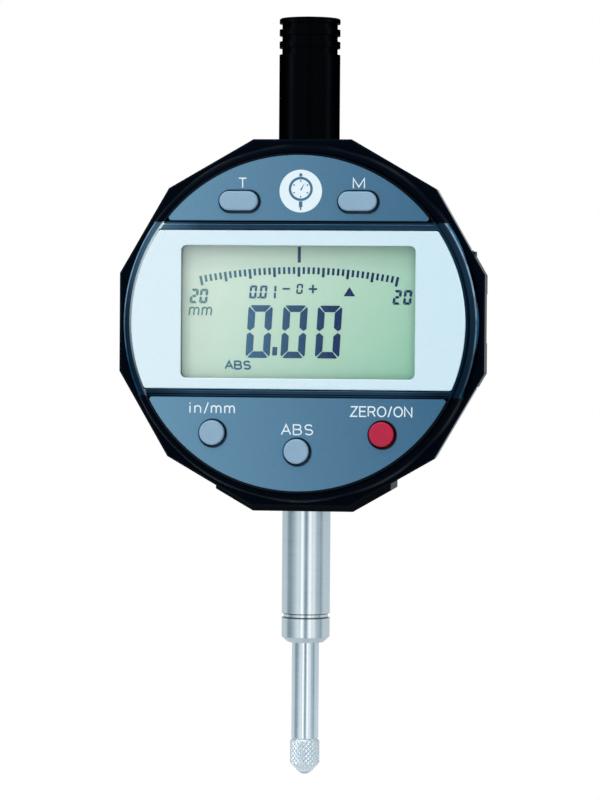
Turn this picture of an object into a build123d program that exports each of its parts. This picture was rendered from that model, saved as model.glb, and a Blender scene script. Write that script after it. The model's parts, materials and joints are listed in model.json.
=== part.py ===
"""Digital dial indicator, 12.7 mm travel, 8 mm clamping stem.

Frame: +Z up along the spindle, +X to the right of a person reading the
display, +Y away from the reader, towards the back of the case.  The origin is
on the spindle axis, halfway along the clamping length of the stem.
All sizes in millimetres.
"""
from build123d import *
import math
import os

os.makedirs("parts", exist_ok=True)

# ---------------------------------------------------------------- heights (Z)
ZC = 39.6            # centre of the twelve-sided case above the origin
STEM_HALF = 8.6      # half the clamping length of the stem
GROOVE_W = 0.75      # groove under the clamping length
STEM_BOTTOM = -13.4
SPINDLE_BOTTOM = -29.6
TIP_Z = -35.5
CAP_BOTTOM = 69.75
CAP_TOP = 90.0

# --------------------------------------------------------------- depths (Y)
Y_FACE = -15.5       # front of the three face plates
PLATE_T = 0.8        # thickness of the face plates
Y_POCKET = Y_FACE + PLATE_T          # floor of the face pockets
Y_RIM = -15.4        # top of the island's rim and of its two ribs
WALL_F = 1.5         # front wall of the shell
Y_INNER = Y_POCKET + WALL_F          # inside of the front wall
Y_POLY = -10.3       # front of the twelve-sided part of the shell
Y_STEP = -9.0        # the cavity widens behind this depth
Y_SPLIT = -5.3       # joint between front shell and rear case
Y_BACK = 8.5         # rear of the rear case
Y_COVER = 10.3       # rear of the back cover
Y_KEY = -16.4        # top of the keys

# ------------------------------------------------------------------ the case
CASE_A = 30.0        # half the size across flats of the front shell
REAR_A = 28.6        # half the size across flats of the rear case
BLOCK_A = 31.0       # half the size across flats at the stem block
BLOCK_HALF = 14.5    # half the width of the stem block
ISLAND_R = 27.55     # raised round island that holds the plates
PLATE_R = 27.2       # radius of the face plates
Z_UP0, Z_UP1 = 15.05, 16.15          # upper rib, from the case centre
Z_LO0, Z_LO1 = -11.65, -10.75        # lower rib
RIB_GAP = 0.42                       # from each rib to the outer plates

# --------------------------------------------------------------- the display
WIN_W, WIN_H, WIN_R = 38.15, 21.5, 0.9
WIN_Z = 1.8          # window centre above the case centre

# ------------------------------------------------------------------ the keys
OVAL_L, OVAL_W = 6.2, 3.1
ROUND_D = 4.0
KEY_GAP = 0.3        # gap round a key in its hole
KEY_OFF = (0.13, -0.11)              # the holes sit this far off the keys
KEY_TRAVEL = 0.5
OVAL_POS = [("key_t", -9.65, 19.75), ("key_m", 9.65, 19.75)]
ROUND_POS = [("key_in_mm", -13.8, -17.8), ("key_abs", 0.0, -20.7),
             ("key_zero", 13.8, -17.8)]

# ------------------------------------------------------- spindle and bearings
SPINDLE_D = 4.5
RUN = 0.04           # radial running clearance in the bushes
STEM_D = 8.0
SEAT_R = 3.5         # the stem is stepped where it is pressed into the case
TRAVEL = 12.7

# -------------------------------------------------------------------- screws
SHELL_SCREWS = [(sx * 18.5, sz * 18.5) for sx in (-1, 1) for sz in (-1, 1)]
PCB_SCREWS = [(-14.9, 16.6), (14.9, 16.6), (-6.8, -16.5), (6.8, -16.5)]
COVER_SCREWS = [(sx * 23.1, sz * 8.4) for sx in (-1, 1) for sz in (-1, 1)]
READER_SCREWS = [(-4.6, 18.3 - ZC), (4.6, 18.3 - ZC),
                 (-4.9, 64.1 - ZC), (4.9, 64.1 - ZC)]

# ------------------------------------------------------------------- battery
CELL_D, CELL_T = 20.0, 3.2
CELL_X, CELL_Z = 17.7, 0.95          # cell centre, from the case centre
DOOR_Z0, DOOR_Z1 = -10.25, 12.15     # the door's lower and upper ends
DOOR_Y0, DOOR_Y1 = -9.3, -3.2        # the door's front and rear edges
TRAY_Y0, TRAY_Y1 = -8.1, -4.1


def front_plane(y):
    """Plane across the case at depth y: local x to the right, local y up,
    normal towards the reader."""
    return Plane(origin=(0, y, ZC), x_dir=(1, 0, 0), z_dir=(0, -1, 0))


def side_plane(x):
    """Plane at x with its normal along +X: local x along +Y, local y up."""
    return Plane(origin=(x, 0, ZC), x_dir=(0, 1, 0), z_dir=(1, 0, 0))


def hole_places(keys):
    """Centres of the key holes."""
    return [(x + KEY_OFF[0], z + KEY_OFF[1]) for n, x, z in keys]


CASE_AXIS = Axis((0, 0, ZC), (0, 1, 0))
CASE_SECTION = Plane.XY.offset(ZC)   # local x is the radius, local y is depth


# =================================================================== housing
with BuildPart() as front_shell:
    with BuildSketch(front_plane(Y_SPLIT)):
        RegularPolygon(CASE_A, 12, major_radius=False, rotation=15)
    extrude(amount=Y_SPLIT - Y_POLY)
    chamfer(front_shell.faces().sort_by(Axis.Y)[0].edges(), 0.35)
    # ring, groove and island, turned about the case's own axis
    with BuildSketch(CASE_SECTION):
        with BuildLine():
            Polyline(
                (0, Y_POLY + 0.6), (29.4, Y_POLY + 0.6), (29.4, Y_POLY),
                (28.98, -11.9), (28.9, -12.35), (28.72, -12.62),
                (28.4, -12.75), (27.85, -12.85), (27.8, -12.2),
                (ISLAND_R, -12.2), (ISLAND_R, Y_RIM + 0.35),
                (ISLAND_R - 0.24, Y_RIM), (0, Y_RIM), close=True)
        make_face()
    revolve(axis=CASE_AXIS)
    # cavity
    with BuildSketch(front_plane(Y_STEP)):
        Circle(26.2)
    extrude(amount=Y_STEP - Y_INNER, mode=Mode.SUBTRACT)
    with BuildSketch(front_plane(Y_SPLIT)):
        RegularPolygon(27.9, 12, major_radius=False, rotation=15)
    extrude(amount=Y_SPLIT - Y_STEP, mode=Mode.SUBTRACT)
    # bosses for the case screws and the circuit board screws
    with BuildSketch(front_plane(Y_SPLIT)):
        with Locations(*SHELL_SCREWS):
            Circle(2.0)
    extrude(amount=Y_SPLIT - Y_INNER + 0.2)
    with BuildSketch(front_plane(-9.6)):
        with Locations(*PCB_SCREWS):
            Circle(1.5)
    extrude(amount=-9.6 - Y_INNER + 0.2)
    with BuildSketch(front_plane(Y_SPLIT)):
        with Locations(*SHELL_SCREWS):
            Circle(0.85)
    extrude(amount=5.2, mode=Mode.SUBTRACT)
    with BuildSketch(front_plane(-9.6)):
        with Locations(*PCB_SCREWS):
            Circle(0.65)
    extrude(amount=3.2, mode=Mode.SUBTRACT)
    # pockets for the upper plate, the display plate and the lower plate
    with BuildSketch(front_plane(Y_POCKET)):
        Circle(PLATE_R + 0.06)
        with Locations((0, (Z_UP1 + 40) / 2)):
            Rectangle(80, 40 - Z_UP1, mode=Mode.INTERSECT)
    extrude(amount=2, mode=Mode.SUBTRACT)
    with BuildSketch(front_plane(Y_POCKET)):
        Circle(PLATE_R + 0.06)
        with Locations((0, (Z_UP0 + Z_LO1) / 2)):
            Rectangle(80, Z_UP0 - Z_LO1, mode=Mode.INTERSECT)
    extrude(amount=2, mode=Mode.SUBTRACT)
    with BuildSketch(front_plane(Y_POCKET)):
        Circle(PLATE_R + 0.06)
        with Locations((0, (Z_LO0 - 40) / 2)):
            Rectangle(80, 40 + Z_LO0, mode=Mode.INTERSECT)
    extrude(amount=2, mode=Mode.SUBTRACT)
    # rounded tops of both ribs
    rib_edges = [e for e in front_shell.edges().filter_by(Axis.X)
                 if abs(e.center().Y - Y_RIM) < 0.01 and e.length > 30]
    fillet(rib_edges, 0.4)
    # window and key holes
    with BuildSketch(front_plane(Y_INNER + 0.2)):
        with Locations((0, WIN_Z)):
            RectangleRounded(WIN_W + 0.5, WIN_H + 0.5, WIN_R + 0.25)
        with Locations(*hole_places(OVAL_POS)):
            SlotOverall(OVAL_L + 2 * KEY_GAP, OVAL_W + 2 * KEY_GAP)
        with Locations(*hole_places(ROUND_POS)):
            Circle(ROUND_D / 2 + KEY_GAP)
    extrude(amount=4, mode=Mode.SUBTRACT)
    # opening for the battery door, through the right-hand wall
    with BuildSketch(side_plane(23)):
        with Locations(((DOOR_Y0 - 0.1 + Y_SPLIT + 1) / 2,
                        (DOOR_Z0 + DOOR_Z1) / 2)):
            Rectangle(Y_SPLIT + 1 - DOOR_Y0 + 0.1,
                      DOOR_Z1 - DOOR_Z0 + 0.3)
    extrude(amount=12, mode=Mode.SUBTRACT)

with BuildPart() as rear_case:
    with BuildSketch(front_plane(Y_BACK)):
        RegularPolygon(REAR_A, 12, major_radius=False, rotation=15)
    extrude(amount=Y_BACK - Y_SPLIT)
    chamfer(rear_case.faces().sort_by(Axis.Y)[-1].edges(), 0.6)
    # stem block under the case and cap seat on top of it
    with BuildSketch(front_plane(Y_BACK - 0.8)):
        RegularPolygon(BLOCK_A, 12, major_radius=False, rotation=15)
        with Locations((0, -30)):
            Rectangle(2 * BLOCK_HALF, 20, mode=Mode.INTERSECT)
    extrude(amount=Y_BACK - 0.8 - Y_SPLIT)
    with BuildSketch(front_plane(7.0)):
        with Locations((0, 25)):
            Rectangle(15.6, 2 * (CASE_A - 25))
    extrude(amount=7.0 - Y_SPLIT)
    # cavity, open to the front and to the back
    with BuildSketch(front_plane(Y_BACK)):
        RegularPolygon(26.2, 12, major_radius=False, rotation=15)
    extrude(amount=Y_BACK - Y_SPLIT, mode=Mode.SUBTRACT)
    # stem boss, bush boss, case-screw and cover-screw bosses
    with BuildSketch(front_plane(7.0)):
        with Locations((-1.5, (12 + 20) / 2 - ZC)):
            Rectangle(17, 8)
        with Locations((-1.5, (62 + 68) / 2 - ZC)):
            Rectangle(17, 6)
    extrude(amount=7.0 - Y_SPLIT)
    with BuildSketch(front_plane(Y_BACK)):
        RegularPolygon(REAR_A, 12, major_radius=False, rotation=15)
        with Locations(*SHELL_SCREWS):
            Circle(2.9, mode=Mode.SUBTRACT)
        RegularPolygon(REAR_A, 12, major_radius=False, rotation=15,
                       mode=Mode.SUBTRACT)
        with Locations(*SHELL_SCREWS):
            Circle(2.9)
    extrude(amount=Y_BACK - Y_SPLIT)
    with BuildSketch(front_plane(Y_BACK)):
        with Locations(*[(math.copysign(24.1, x), z)
                         for x, z in COVER_SCREWS]):
            Rectangle(4.8, 4.0)
    extrude(amount=5.5)
    # shelf and rails that carry the battery tray
    with BuildSketch(side_plane(8.4)):
        with Locations((-3.35, (DOOR_Z0 + DOOR_Z1) / 2)):
            Rectangle(1.1, DOOR_Z1 - DOOR_Z0 + 3.4)
        with Locations((-4.3, DOOR_Z1 + 0.95), (-4.3, DOOR_Z0 - 0.95)):
            Rectangle(2.0, 1.5)
    extrude(amount=16.2)
    with BuildSketch(side_plane(24.0)):
        with Locations((-3.35, 0)):
            Rectangle(1.1, 14.0)
    extrude(amount=2.6)
    # bores: stem, spindle passage, upper bush, guide rod
    with BuildSketch(Plane.XY.offset(0)):
        Circle(SEAT_R)
    extrude(amount=16.0, mode=Mode.SUBTRACT)
    with BuildSketch(Plane.XY.offset(15)):
        Circle(2.7)
    extrude(amount=10, mode=Mode.SUBTRACT)
    with BuildSketch(Plane.XY.offset(60)):
        Circle(3.5)
    extrude(amount=12, mode=Mode.SUBTRACT)
    with BuildSketch(Plane.XY.offset(17)):
        with Locations((-8.0, 1.0)):
            Circle(1.0)
    extrude(amount=47.5, mode=Mode.SUBTRACT)
    # seats for the reader board on both bosses
    with BuildSketch(front_plane(-4.4)):
        with Locations((0, (16.4 + 20.4) / 2 - ZC),
                       (0, (61.6 + 65.7) / 2 - ZC)):
            Rectangle(13, 4.1)
    extrude(amount=3, mode=Mode.SUBTRACT)
    with BuildSketch(front_plane(-1.6)):
        with Locations(*READER_SCREWS):
            Circle(0.6)
    extrude(amount=4, mode=Mode.SUBTRACT)
    # case screws go in from the back, down deep counterbores
    with BuildSketch(front_plane(Y_BACK)):
        with Locations(*SHELL_SCREWS):
            Circle(1.1)
    extrude(amount=20, mode=Mode.SUBTRACT)
    with BuildSketch(front_plane(Y_BACK)):
        with Locations(*SHELL_SCREWS):
            Circle(2.0)
    extrude(amount=Y_BACK, mode=Mode.SUBTRACT)
    with BuildSketch(front_plane(Y_BACK)):
        with Locations(*COVER_SCREWS):
            Circle(0.85)
    extrude(amount=5.2, mode=Mode.SUBTRACT)
    # openings: battery door on the right, data port on the left
    with BuildSketch(side_plane(24)):
        with Locations(((Y_SPLIT - 1 + DOOR_Y1 + 0.1) / 2,
                        (DOOR_Z0 + DOOR_Z1) / 2)):
            Rectangle(DOOR_Y1 + 0.1 - Y_SPLIT + 1,
                      DOOR_Z1 - DOOR_Z0 + 0.3)
    extrude(amount=12, mode=Mode.SUBTRACT)
    with BuildSketch(side_plane(8.3)):
        with Locations((-4.9, CELL_Z)):
            Rectangle(2.0, 22.3)
    extrude(amount=20, mode=Mode.SUBTRACT)
    with BuildSketch(side_plane(-24)):
        with Locations((-1.5, 0)):
            Rectangle(4.0, 10.4)
    extrude(amount=-8, mode=Mode.SUBTRACT)

with BuildPart() as back_cover:
    with BuildSketch(front_plane(Y_COVER)):
        RegularPolygon(REAR_A - 0.2, 12, major_radius=False, rotation=15)
    extrude(amount=Y_COVER - Y_BACK)
    chamfer(back_cover.faces().sort_by(Axis.Y)[-1].edges(), 0.5)
    # locating lip inside the case wall
    with BuildSketch(front_plane(Y_BACK)):
        Circle(22.6)
        Circle(21.4, mode=Mode.SUBTRACT)
        with Locations((22.5, 8.4), (-22.5, 8.4), (22.5, -8.4),
                       (-22.5, -8.4)):
            Rectangle(8, 5.4, mode=Mode.SUBTRACT)
        with Locations((0, 0)):
            Rectangle(20, 60, mode=Mode.SUBTRACT)
        with Locations(*SHELL_SCREWS):
            Circle(3.6, mode=Mode.SUBTRACT)
    extrude(amount=0.8)
    # lug with a 6.5 mm hole, in the plane of the spindle
    with BuildSketch(side_plane(-2.5)):
        with BuildLine():
            Polyline((Y_COVER - 0.6, 9.0), (Y_COVER - 0.6, -9.0),
                     (12.0, -6.4), (16.5, -6.0), (16.5, 6.0), (12.0, 6.4),
                     close=True)
        make_face()
        with Locations((15.6, 0)):
            Circle(6.0)
    extrude(amount=5.0)
    with BuildSketch(side_plane(-4)):
        with Locations((15.6, 0)):
            Circle(3.25)
    extrude(amount=8, mode=Mode.SUBTRACT)
    with BuildSketch(front_plane(Y_COVER)):
        with Locations(*COVER_SCREWS):
            Circle(1.1)
    extrude(amount=4, mode=Mode.SUBTRACT)
    with Locations(*[Location(Plane(origin=(x, Y_COVER, ZC + z),
                                    x_dir=(1, 0, 0), z_dir=(0, 1, 0)))
                     for x, z in COVER_SCREWS]):
        CounterSinkHole(radius=1.1, counter_sink_radius=2.0, depth=2.0)

# =============================================================== face plates
with BuildPart() as upper_label_plate:
    with BuildSketch(front_plane(Y_POCKET)) as sk:
        Circle(PLATE_R)
        with Locations((0, (Z_UP1 + RIB_GAP + 40) / 2)):
            Rectangle(80, 40 - Z_UP1 - RIB_GAP, mode=Mode.INTERSECT)
        fillet(sk.vertices(), 0.4)
        with Locations(*hole_places(OVAL_POS)):
            SlotOverall(OVAL_L + 2 * KEY_GAP, OVAL_W + 2 * KEY_GAP,
                        mode=Mode.SUBTRACT)
    extrude(amount=PLATE_T)
    chamfer(upper_label_plate.faces().sort_by(Axis.Y)[0].edges(), 0.12)

with BuildPart() as lower_label_plate:
    with BuildSketch(front_plane(Y_POCKET)) as sk:
        Circle(PLATE_R)
        with Locations((0, (Z_LO0 - RIB_GAP - 40) / 2)):
            Rectangle(80, 40 + Z_LO0 - RIB_GAP, mode=Mode.INTERSECT)
        fillet(sk.vertices(), 0.4)
        with Locations(*hole_places(ROUND_POS)):
            Circle(ROUND_D / 2 + KEY_GAP, mode=Mode.SUBTRACT)
    extrude(amount=PLATE_T)
    chamfer(lower_label_plate.faces().sort_by(Axis.Y)[0].edges(), 0.12)

with BuildPart() as display_plate:
    with BuildSketch(front_plane(Y_POCKET)) as sk:
        Circle(PLATE_R)
        with Locations((0, (Z_UP0 + Z_LO1) / 2)):
            Rectangle(80, Z_UP0 - Z_LO1 - 0.12, mode=Mode.INTERSECT)
        fillet(sk.vertices(), 0.6)
        with Locations((0, WIN_Z)):
            RectangleRounded(WIN_W, WIN_H, WIN_R, mode=Mode.SUBTRACT)
    extrude(amount=PLATE_T)
    chamfer(display_plate.faces().sort_by(Axis.Y)[0].edges(), 0.12)

# =================================================================== display
with BuildPart() as lcd_lens:
    with BuildSketch(front_plane(-13.7)):
        with Locations((0, WIN_Z)):
            RectangleRounded(WIN_W + 0.4, WIN_H + 0.4, WIN_R + 0.2)
    extrude(amount=1.0)

with BuildPart() as lcd_cell:
    with BuildSketch(front_plane(-11.2)):
        with Locations((0, WIN_Z)):
            Rectangle(41.0, 23.4)
    extrude(amount=1.9)
    # the rear glass is shorter, so the front glass shows its contact ledges
    with BuildSketch(front_plane(-11.2)):
        with Locations((0, WIN_Z + 11.7), (0, WIN_Z - 11.7)):
            Rectangle(41.0, 3.4)
    extrude(amount=0.9, mode=Mode.SUBTRACT)
    # front polariser, standing forward in the window
    with BuildSketch(front_plane(-13.1)):
        with Locations((0, WIN_Z)):
            RectangleRounded(38.2, 21.5, WIN_R + 0.1)
    extrude(amount=0.5)

with BuildPart() as lcd_holder:
    with BuildSketch(front_plane(-9.62)):
        with Locations((0, WIN_Z)):
            RectangleRounded(43.0, 25.4, 0.8)
            Rectangle(41.2, 23.6, mode=Mode.SUBTRACT)
    extrude(amount=3.5)
    with BuildSketch(front_plane(-9.62)):
        with Locations((0, WIN_Z)):
            Rectangle(42.0, 18.8)
    extrude(amount=1.4)

with BuildPart() as zebra_strips:
    with BuildSketch(front_plane(-9.62)):
        with Locations((0, WIN_Z + 10.75), (0, WIN_Z - 10.75)):
            Rectangle(38.0, 1.5)
    extrude(amount=2.45)

with BuildPart() as circuit_board:
    with BuildSketch(front_plane(-8.6)):
        Circle(24.0)
        with Locations(*PCB_SCREWS):
            Circle(1.0, mode=Mode.SUBTRACT)
        with Locations((-25.5, 0)):
            Rectangle(4, 6, mode=Mode.SUBTRACT)
    extrude(amount=1.0)

with BuildPart() as pcb_screws:
    with BuildSketch(front_plane(-8.6)):
        with Locations(*PCB_SCREWS):
            Circle(0.6)
    extrude(amount=3.6)
    with BuildSketch(front_plane(-7.6)):
        with Locations(*PCB_SCREWS):
            Circle(1.45)
            RegularPolygon(0.5, 6, mode=Mode.SUBTRACT)
    extrude(amount=1.0)

with BuildPart() as controller_chip:
    with BuildSketch(front_plane(-7.3)):
        with Locations((-15.0, 1.0)):
            RectangleRounded(8.0, 8.0, 0.5)
    extrude(amount=1.3)
    chamfer(controller_chip.faces().sort_by(Axis.Y)[-1].edges(), 0.3)

with BuildPart() as key_switches:
    with BuildSketch(front_plane(-9.6)):
        with Locations(*[(x, z) for n, x, z in OVAL_POS + ROUND_POS]):
            RectangleRounded(3.4, 3.4, 0.3)
    extrude(amount=0.9)
    with BuildSketch(front_plane(-10.5)):
        with Locations(*[(x, z) for n, x, z in OVAL_POS + ROUND_POS]):
            Circle(0.9)
    extrude(amount=0.5)

# ====================================================================== keys
KEYS = []
for key_name, kx, kz in OVAL_POS:
    with BuildPart() as key:
        with BuildSketch(front_plane(-12.6)):
            with Locations((kx, kz)):
                SlotOverall(OVAL_L, OVAL_W)
        extrude(amount=-12.6 - Y_KEY)
        fillet(key.faces().sort_by(Axis.Y)[0].edges(), 0.3)
        with BuildSketch(front_plane(-12.45)):
            with Locations((kx, kz)):
                SlotOverall(OVAL_L + 1.2, OVAL_W + 1.2)
        extrude(amount=0.7)
        with BuildSketch(front_plane(-11.6)):
            with Locations((kx, kz)):
                Circle(1.1)
        extrude(amount=1.2)
    KEYS.append((key_name, key))
for key_name, kx, kz in ROUND_POS:
    with BuildPart() as key:
        with BuildSketch(front_plane(-12.6)):
            with Locations((kx, kz)):
                Circle(ROUND_D / 2)
        extrude(amount=-12.6 - Y_KEY)
        fillet(key.faces().sort_by(Axis.Y)[0].edges(), 0.3)
        with BuildSketch(front_plane(-12.45)):
            with Locations((kx, kz)):
                Circle(ROUND_D / 2 + 0.55)
        extrude(amount=0.7)
        with BuildSketch(front_plane(-11.6)):
            with Locations((kx, kz)):
                Circle(1.1)
        extrude(amount=1.2)
    KEYS.append((key_name, key))

# ============================================================ case fasteners
with BuildPart() as shell_screws:
    with BuildSketch(front_plane(0.0)):
        with Locations(*SHELL_SCREWS):
            Circle(0.8)
    extrude(amount=9.6)
    with BuildSketch(front_plane(1.6)):
        with Locations(*SHELL_SCREWS):
            Circle(1.8)
    extrude(amount=1.6)
    with BuildSketch(front_plane(1.6)):
        with Locations(*SHELL_SCREWS):
            RegularPolygon(0.75, 6, major_radius=False)
    extrude(amount=0.9, mode=Mode.SUBTRACT)

with BuildPart() as cover_screws:
    with BuildSketch(front_plane(Y_COVER)):
        with Locations(*COVER_SCREWS):
            Circle(0.8)
    extrude(amount=6.0)
    for x, z in COVER_SCREWS:
        with BuildSketch(Plane(origin=(x, 0, ZC + z), x_dir=(1, 0, 0),
                               z_dir=(0, 0, 1))):
            with BuildLine():
                Polyline((0, Y_COVER - 0.05), (1.9, Y_COVER - 0.05),
                         (1.05, Y_COVER - 0.92), (0, Y_COVER - 0.92),
                         close=True)
            make_face()
        revolve(axis=Axis((x, 0, ZC + z), (0, 1, 0)))
    with BuildSketch(front_plane(Y_COVER)):
        with Locations(*COVER_SCREWS):
            Rectangle(1.9, 0.36)
            Rectangle(0.36, 1.9)
    extrude(amount=0.75, mode=Mode.SUBTRACT)

# ======================================================= stem, bushes, cap
with BuildPart() as stem:
    with BuildSketch(Plane.XZ):
        with BuildLine():
            R = STEM_D / 2
            G = -STEM_HALF
            Polyline(
                (2.95, STEM_BOTTOM), (3.05, STEM_BOTTOM),
                (R, STEM_BOTTOM + 0.9), (R, G - GROOVE_W),
                (R - 0.3, G - GROOVE_W + 0.06), (R - 0.3, G - 0.06),
                (R, G), (R, STEM_HALF), (SEAT_R, STEM_HALF),
                (SEAT_R, 15.8), (SEAT_R - 0.2, 16.0), (2.95, 16.0),
                close=True)
        make_face()
    revolve(axis=Axis.Z)

with BuildPart() as lower_bush:
    with BuildSketch(Plane.XZ):
        with BuildLine():
            Polyline((SPINDLE_D / 2 + RUN, STEM_BOTTOM + 0.35),
                     (SPINDLE_D / 2 + RUN + 0.25, STEM_BOTTOM + 0.1),
                     (2.95, STEM_BOTTOM + 0.1), (2.95, -3.0),
                     (SPINDLE_D / 2 + RUN, -3.0), close=True)
        make_face()
    revolve(axis=Axis.Z)

with BuildPart() as upper_bush:
    with BuildSketch(Plane.XZ):
        with BuildLine():
            r0 = SPINDLE_D / 2 + RUN
            Polyline((r0, 62.4), (3.5, 62.4), (3.5, 70.4), (3.25, 70.6),
                     (3.5, 70.9), (3.25, 71.3), (3.5, 71.6), (3.25, 72.0),
                     (3.5, 72.3), (3.25, 72.7), (3.5, 73.0), (3.3, 73.6),
                     (r0, 73.6), close=True)
        make_face()
    revolve(axis=Axis.Z)

with BuildPart() as dust_cap:
    with BuildSketch(Plane.XZ):
        with BuildLine():
            rc = 5.05
            rg = 4.6
            Polyline(
                (3.52, CAP_BOTTOM), (rc - 0.1, CAP_BOTTOM),
                (rc, CAP_BOTTOM + 0.1), (rc, 84.0), (rg, 84.05),
                (rg, 85.05), (rc, 85.1), (rc, 86.15), (rg, 86.2),
                (rg, 87.1), (rc, 87.15), (rc, 88.15), (rg, 88.2),
                (rg, 89.1), (rc, 89.15), (rc, CAP_TOP - 0.15),
                (rc - 0.2, CAP_TOP), (0, CAP_TOP), (0, 88.6), (2.9, 88.6),
                (2.9, 74.2), (3.52, 74.2), close=True)
        make_face()
    revolve(axis=Axis.Z)

# ============================================================ spindle train
with BuildPart() as spindle:
    with BuildSketch(Plane.XZ):
        with BuildLine():
            rs = SPINDLE_D / 2
            Polyline((1.25, SPINDLE_BOTTOM), (rs - 0.2, SPINDLE_BOTTOM),
                     (rs, SPINDLE_BOTTOM + 0.2), (rs, 73.7),
                     (rs - 0.4, 74.1), (0, 74.1), (0, SPINDLE_BOTTOM + 4.6),
                     (1.25, SPINDLE_BOTTOM + 4.2), close=True)
        make_face()
    revolve(axis=Axis.Z)

with BuildPart() as contact_point:
    with BuildSketch(Plane.XZ):
        with BuildLine():
            Polyline((0, SPINDLE_BOTTOM + 3.9), (1.0, SPINDLE_BOTTOM + 3.9),
                     (1.24, SPINDLE_BOTTOM + 3.6), (1.24, SPINDLE_BOTTOM),
                     (2.05, SPINDLE_BOTTOM), (2.45, SPINDLE_BOTTOM - 0.35),
                     (2.45, TIP_Z + 1.9), (1.15, TIP_Z + 0.48),
                     (0, TIP_Z + 0.48), close=True)
        make_face()
    revolve(axis=Axis.Z)
    with Locations((0, 0, TIP_Z + 1.5)):
        Sphere(1.5, mode=Mode.SUBTRACT)

with BuildPart() as contact_ball:
    with Locations((0, 0, TIP_Z + 1.5)):
        Sphere(1.5)

with BuildPart() as scale_carrier:
    with BuildSketch(Plane.XY.offset(21.7)):
        with Locations((0, -0.25)):
            RectangleRounded(9.6, 6.9, 0.6)
    extrude(amount=18.3)
    # fork that straddles the guide rod
    with BuildSketch(Plane.XY.offset(26)):
        with Locations((-7.0, 1.0)):
            Rectangle(6.0, 4.6)
    extrude(amount=6)
    with BuildSketch(Plane.XY.offset(25)):
        with Locations((-9.0, 1.0)):
            SlotOverall(4.06, 2.08, mode=Mode.ADD)
    extrude(amount=8, mode=Mode.SUBTRACT)
    with BuildSketch(Plane.XY.offset(21)):
        Circle(SPINDLE_D / 2)
    extrude(amount=20, mode=Mode.SUBTRACT)
    with BuildSketch(Plane.XZ.offset(-1.8)):
        with Locations((0, 36.5)):
            Circle(0.9)
    extrude(amount=-3, mode=Mode.SUBTRACT)

with BuildPart() as carrier_screw:
    with BuildSketch(Plane.XZ.offset(-2.26)):
        with Locations((0, 36.5)):
            Circle(0.88)
    extrude(amount=-1.6)
    with BuildSketch(Plane.XZ.offset(-3.2)):
        with Locations((0, 36.5)):
            RegularPolygon(0.4, 6)
    extrude(amount=-1.0, mode=Mode.SUBTRACT)

with BuildPart() as capacitive_scale:
    with BuildSketch(front_plane(-3.7)):
        with Locations((0, (22.0 + 39.8) / 2 - ZC)):
            Rectangle(7.6, 17.8)
    extrude(amount=0.5)

with BuildPart() as reader_board:
    with BuildSketch(front_plane(-4.4)):
        with Locations((0, (16.6 + 65.5) / 2 - ZC)):
            Rectangle(12.4, 65.5 - 16.6)
        with Locations(*READER_SCREWS):
            Circle(0.8, mode=Mode.SUBTRACT)
    extrude(amount=0.8)

with BuildPart() as reader_screws:
    with BuildSketch(front_plane(-2.0)):
        with Locations(*READER_SCREWS):
            Circle(0.55)
    extrude(amount=3.2)
    with BuildSketch(front_plane(-5.2)):
        with Locations(*READER_SCREWS):
            Circle(1.2)
            Rectangle(1.6, 0.3, mode=Mode.SUBTRACT)
    extrude(amount=0.7)

with BuildPart() as board_header:
    with BuildSketch(front_plane(-5.2)):
        with Locations((0, 18.6)):
            Rectangle(6.4, 2.0)
    extrude(amount=3.4)

with BuildPart() as guide_rod:
    with BuildSketch(Plane.XY.offset(17.0)):
        with Locations((-8.0, 1.0)):
            Circle(0.99)
    extrude(amount=47.4)

with BuildPart() as bump_washer:
    with BuildSketch(Plane.XY.offset(20.0)):
        Circle(4.2)
        Circle(2.7, mode=Mode.SUBTRACT)
    extrude(amount=1.6)

SPRING_Z0, SPRING_Z1 = 40.3, 61.6
with BuildPart() as return_spring:
    with BuildLine() as coil:
        Helix(pitch=(SPRING_Z1 - SPRING_Z0) / 9, height=SPRING_Z1 - SPRING_Z0,
              radius=3.1, center=(0, 0, SPRING_Z0))
    with BuildSketch(Plane(origin=coil.line @ 0, z_dir=coil.line % 0)):
        Circle(0.25)
    sweep(is_frenet=True)

# ================================================================== battery
with BuildPart() as battery_tray:
    # door: the slice of the twelve-sided wall between its two ends
    with BuildSketch(front_plane(DOOR_Y1)):
        RegularPolygon(CASE_A, 12, major_radius=False, rotation=15)
        RegularPolygon(28.1, 12, major_radius=False, rotation=15,
                       mode=Mode.SUBTRACT)
        with Locations((30, (DOOR_Z0 + DOOR_Z1) / 2)):
            Rectangle(12, DOOR_Z1 - DOOR_Z0, mode=Mode.INTERSECT)
    extrude(amount=DOOR_Y1 - DOOR_Y0)
    # tray with its pocket for the cell
    with BuildSketch(front_plane(TRAY_Y1)):
        with Locations(((6.9 + 28.3) / 2, CELL_Z)):
            Rectangle(28.3 - 6.9, 21.9)
    extrude(amount=TRAY_Y1 - TRAY_Y0)
    with BuildSketch(front_plane(TRAY_Y1 - 0.7)):
        with Locations((CELL_X, CELL_Z)):
            Circle(CELL_D / 2 + 0.1)
    extrude(amount=5, mode=Mode.SUBTRACT)
    # thumb-nail groove across the door
    with BuildSketch(front_plane(DOOR_Y1 - 0.0)):
        with Locations((30.25, CELL_Z)):
            Rectangle(1.3, 8.0)
    extrude(amount=1.4, mode=Mode.SUBTRACT)
    # relief in the pocket floor, so the cell can be pushed out
    with BuildSketch(front_plane(TRAY_Y1)):
        with Locations((CELL_X, CELL_Z)):
            Circle(5.0)
    extrude(amount=2, mode=Mode.SUBTRACT)

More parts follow.
